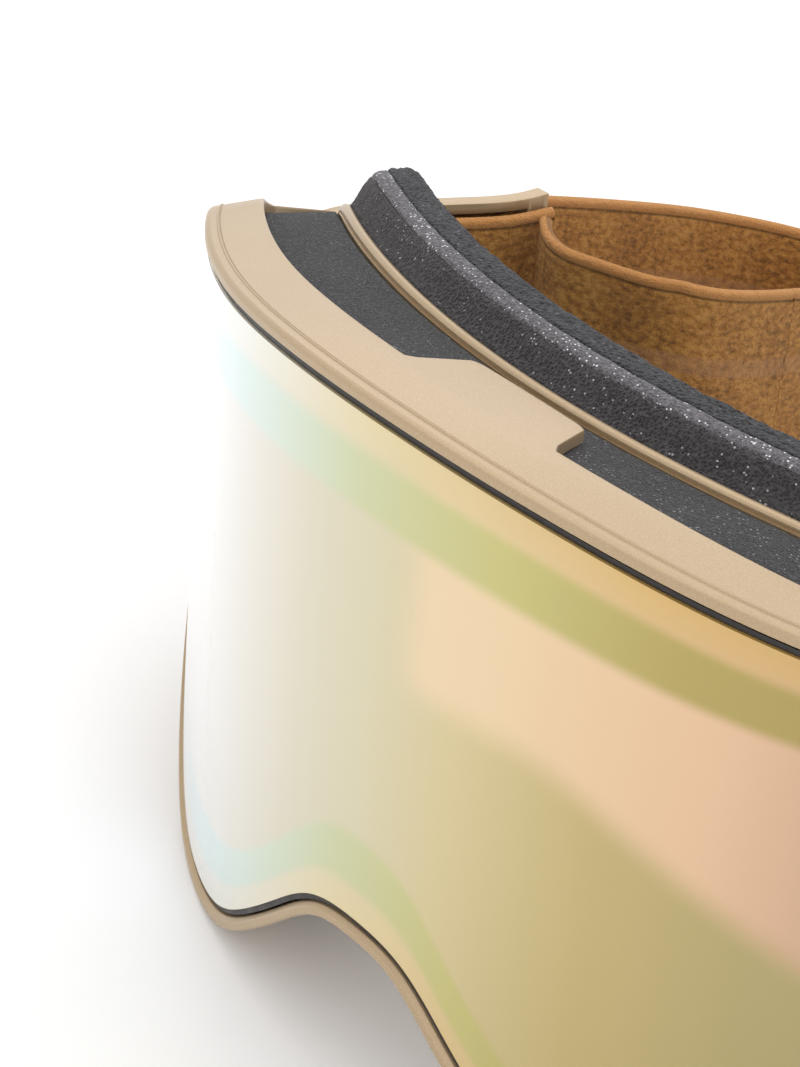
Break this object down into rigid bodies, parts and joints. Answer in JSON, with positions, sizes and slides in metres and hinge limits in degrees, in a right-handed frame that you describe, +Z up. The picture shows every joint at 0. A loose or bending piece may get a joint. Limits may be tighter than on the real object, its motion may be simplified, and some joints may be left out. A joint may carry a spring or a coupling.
{
  "type": "ski goggles",
  "caption": "Ski goggles: gold moulded frame with a magnetic mirrored cylindrical double lens, layered face foam, hinged strap arms and an elastic strap with sliders.",
  "frame": {"origin": "middle of the footprint, on the surface that the goggles stand on", "axes": "+X to the wearer's left, +Y from the lens towards the face and the back of the strap, +Z up"},
  "size_m": [0.1798, 0.1994, 0.1005],
  "materials": {
    "frame_gold": "satin",
    "carrier_black": "matte",
    "mirror_lens": "polished",
    "clear_lens": "polished",
    "spacer_foam": "matte",
    "magnet": "polished",
    "vent_foam": "matte",
    "face_foam": "matte",
    "fleece": "matte",
    "strap": "matte",
    "silicone": "satin",
    "pin_steel": "satin",
    "slider_plastic": "satin"
  },
  "bodies": {
    "goggle_frame": {"front_frame": "frame_gold", "face_frame": "frame_gold", "frame_magnets": "magnet", "top_vent_foam_left": "vent_foam", "top_vent_foam_right": "vent_foam", "lower_vent_foam_left": "vent_foam", "lower_vent_foam_right": "vent_foam", "face_foam_base": "face_foam", "face_foam_middle": "face_foam", "face_fleece": "fleece", "hinge_pin_left": "pin_steel", "hinge_pin_right": "pin_steel", "strap_rear_band": "strap", "grip_lines": "silicone", "strap_side_band_left": "strap", "strap_side_band_right": "strap", "strap_inner_band_left": "strap", "strap_inner_band_right": "strap"},
    "lens_unit": {"outer_lens": "mirror_lens", "inner_lens": "clear_lens", "lens_spacer": "spacer_foam", "lens_carrier": "carrier_black", "lens_magnets": "magnet"},
    "arm_left": {"outrigger_left": "frame_gold", "strap_loop_left": "strap"},
    "arm_right": {"outrigger_right": "frame_gold", "strap_loop_right": "strap"},
    "adjuster_left": {"slider_left": "slider_plastic", "slider_loop_left": "strap"},
    "adjuster_right": {"slider_right": "slider_plastic", "slider_loop_right": "strap"}
  },
  "joints": [
    {"name": "lens_release", "type": "slide", "parent": "goggle_frame", "child": "lens_unit", "axis": [0, -1, 0], "range_m": [0, 0.03]},
    {"name": "arm_hinge_left", "type": "hinge", "parent": "goggle_frame", "child": "arm_left", "pos_m": [0.0856, -0.04917, 0.04958], "axis": [0, 0, -1], "range_deg": [-3, 12], "deforming": ["strap_side_band_left", "strap_inner_band_left"]},
    {"name": "arm_hinge_right", "type": "hinge", "parent": "goggle_frame", "child": "arm_right", "pos_m": [-0.0856, -0.04917, 0.04958], "axis": [0, 0, 1], "range_deg": [-3, 12], "deforming": ["strap_side_band_right", "strap_inner_band_right"]},
    {"name": "strap_adjust_left", "type": "slide", "parent": "goggle_frame", "child": "adjuster_left", "axis": [-0.667, 0.7153, -0.2085], "range_m": [-0.004, 0.018]},
    {"name": "strap_adjust_right", "type": "slide", "parent": "goggle_frame", "child": "adjuster_right", "axis": [0.667, 0.7153, -0.2085], "range_m": [-0.004, 0.018]}
  ]
}
